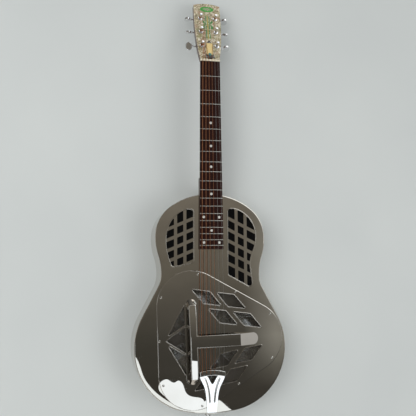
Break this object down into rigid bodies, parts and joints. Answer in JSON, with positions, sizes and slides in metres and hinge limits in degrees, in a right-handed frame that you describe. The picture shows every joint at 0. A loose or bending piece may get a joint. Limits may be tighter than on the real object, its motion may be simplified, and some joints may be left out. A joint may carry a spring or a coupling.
{
  "type": "resonator guitar",
  "caption": "Metal-bodied tricone resonator guitar with a T-shaped bridge cover, lattice sound openings, pearl-faced headstock, geared tuners and a strap tailpiece.",
  "frame": {"origin": "on the outside of the back plate, on the centreline below the bridge saddle", "axes": "+Y along the neck to the headstock, +Z out of the face, +X to the treble side"},
  "size_m": [0.3458, 0.9759, 0.1065],
  "materials": {
    "nickel_body": "polished nickel plate",
    "nickel_cover": "polished nickel plate",
    "dark_screen": "dark woven screen",
    "well_sheet": "plain sheet, unpolished",
    "chrome_screw": "polished",
    "cast_aluminium": "cast",
    "maple": "bare",
    "cone_aluminium": "spun, bright",
    "mahogany": "gloss varnish",
    "rosewood": "oiled",
    "fret_wire": "polished nickel silver",
    "pearl": "pearl",
    "bone": "bone",
    "pearloid": "pearl swirl",
    "gold_inlay": "green and gold",
    "green_badge": "gloss",
    "dark_plate": "gloss",
    "cream_plate": "gloss",
    "teal_inlay": "gloss",
    "steel": "plain",
    "brass_nut": "plain",
    "tuner_chrome": "polished chrome",
    "tail_chrome": "polished chrome",
    "bronze_wound": "phosphor bronze, wound",
    "plain_steel": "tinned wire"
  },
  "bodies": {
    "guitar": {"body_top": "nickel_body", "body_sides": "nickel_body", "body_back": "nickel_body", "lattice_screens": "dark_screen", "sound_well": "well_sheet", "coverplate": "nickel_cover", "coverplate_screens": "dark_screen", "coverplate_screws": "chrome_screw", "bridge_cover": "nickel_cover", "t_bridge": "cast_aluminium", "saddle": "maple", "cone_treble": "cone_aluminium", "cone_bass_upper": "cone_aluminium", "cone_bass_lower": "cone_aluminium", "neck": "mahogany", "neck_stick": "maple", "fretboard": "rosewood", "frets": "fret_wire", "position_dots": "pearl", "nut": "bone", "headstock_overlay": "pearloid", "headstock_inlays": "gold_inlay", "badge_oval": "green_badge", "truss_rod_cover": "dark_plate", "truss_cover_face": "cream_plate", "truss_cover_ornament": "teal_inlay", "truss_cover_screws": "chrome_screw", "truss_rod": "steel", "tuner_housings": "tuner_chrome", "tuner_bushings": "tuner_chrome", "tuner_screws": "chrome_screw", "tailpiece": "tail_chrome", "end_pin": "tuner_chrome", "string_1": "plain_steel", "string_2": "plain_steel", "string_3": "bronze_wound", "string_4": "bronze_wound", "string_5": "bronze_wound", "string_6": "bronze_wound"},
    "truss_nut": {"truss_rod_nut": "brass_nut"},
    "button_1": {"tuner_button_1": "tuner_chrome"},
    "post_1": {"tuner_post_1": "tuner_chrome", "string_winding_1": "plain_steel"},
    "button_2": {"tuner_button_2": "tuner_chrome"},
    "post_2": {"tuner_post_2": "tuner_chrome", "string_winding_2": "plain_steel"},
    "button_3": {"tuner_button_3": "tuner_chrome"},
    "post_3": {"tuner_post_3": "tuner_chrome", "string_winding_3": "bronze_wound"},
    "button_4": {"tuner_button_4": "tuner_chrome"},
    "post_4": {"tuner_post_4": "tuner_chrome", "string_winding_4": "bronze_wound"},
    "button_5": {"tuner_button_5": "tuner_chrome"},
    "post_5": {"tuner_post_5": "tuner_chrome", "string_winding_5": "bronze_wound"},
    "button_6": {"tuner_button_6": "tuner_chrome"},
    "post_6": {"tuner_post_6": "tuner_chrome", "string_winding_6": "bronze_wound"}
  },
  "joints": [
    {"name": "truss_nut_turn", "type": "hinge", "parent": "guitar", "child": "truss_nut", "pos_m": [0, 0.66588, 0.07605], "axis": [0, 1, -0.0086], "range_deg": [-180, 180]},
    {"name": "button_1_turn", "type": "hinge", "parent": "guitar", "child": "button_1", "pos_m": [0.018, 0.69262, 0.05689], "axis": [1, 0, 0], "continuous": true},
    {"name": "post_1_turn", "type": "hinge", "parent": "guitar", "child": "post_1", "pos_m": [0.018, 0.68775, 0.07735], "axis": [0, 0.2588, 0.9659], "continuous": true},
    {"name": "button_2_turn", "type": "hinge", "parent": "guitar", "child": "button_2", "pos_m": [0.018, 0.73126, 0.04653], "axis": [1, 0, 0], "continuous": true},
    {"name": "post_2_turn", "type": "hinge", "parent": "guitar", "child": "post_2", "pos_m": [0.018, 0.72638, 0.06699], "axis": [0, 0.2588, 0.9659], "continuous": true},
    {"name": "button_3_turn", "type": "hinge", "parent": "guitar", "child": "button_3", "pos_m": [0.018, 0.76796, 0.0367], "axis": [1, 0, 0], "continuous": true},
    {"name": "post_3_turn", "type": "hinge", "parent": "guitar", "child": "post_3", "pos_m": [0.018, 0.76309, 0.05716], "axis": [0, 0.2588, 0.9659], "continuous": true},
    {"name": "button_4_turn", "type": "hinge", "parent": "guitar", "child": "button_4", "pos_m": [-0.018, 0.76796, 0.0367], "axis": [-1, 0, 0], "continuous": true},
    {"name": "post_4_turn", "type": "hinge", "parent": "guitar", "child": "post_4", "pos_m": [-0.018, 0.76309, 0.05716], "axis": [0, 0.2588, 0.9659], "continuous": true},
    {"name": "button_5_turn", "type": "hinge", "parent": "guitar", "child": "button_5", "pos_m": [-0.018, 0.73126, 0.04653], "axis": [-1, 0, 0], "continuous": true},
    {"name": "post_5_turn", "type": "hinge", "parent": "guitar", "child": "post_5", "pos_m": [-0.018, 0.72638, 0.06699], "axis": [0, 0.2588, 0.9659], "continuous": true},
    {"name": "button_6_turn", "type": "hinge", "parent": "guitar", "child": "button_6", "pos_m": [-0.018, 0.69262, 0.05689], "axis": [-1, 0, 0], "continuous": true},
    {"name": "post_6_turn", "type": "hinge", "parent": "guitar", "child": "post_6", "pos_m": [-0.018, 0.68775, 0.07735], "axis": [0, 0.2588, 0.9659], "continuous": true}
  ],
  "couplings": [
    {"joint": "post_1_turn", "follows": "button_1_turn", "ratio": 0.071429},
    {"joint": "post_2_turn", "follows": "button_2_turn", "ratio": 0.071429},
    {"joint": "post_3_turn", "follows": "button_3_turn", "ratio": 0.071429},
    {"joint": "post_4_turn", "follows": "button_4_turn", "ratio": 0.071429},
    {"joint": "post_5_turn", "follows": "button_5_turn", "ratio": 0.071429},
    {"joint": "post_6_turn", "follows": "button_6_turn", "ratio": 0.071429}
  ]
}
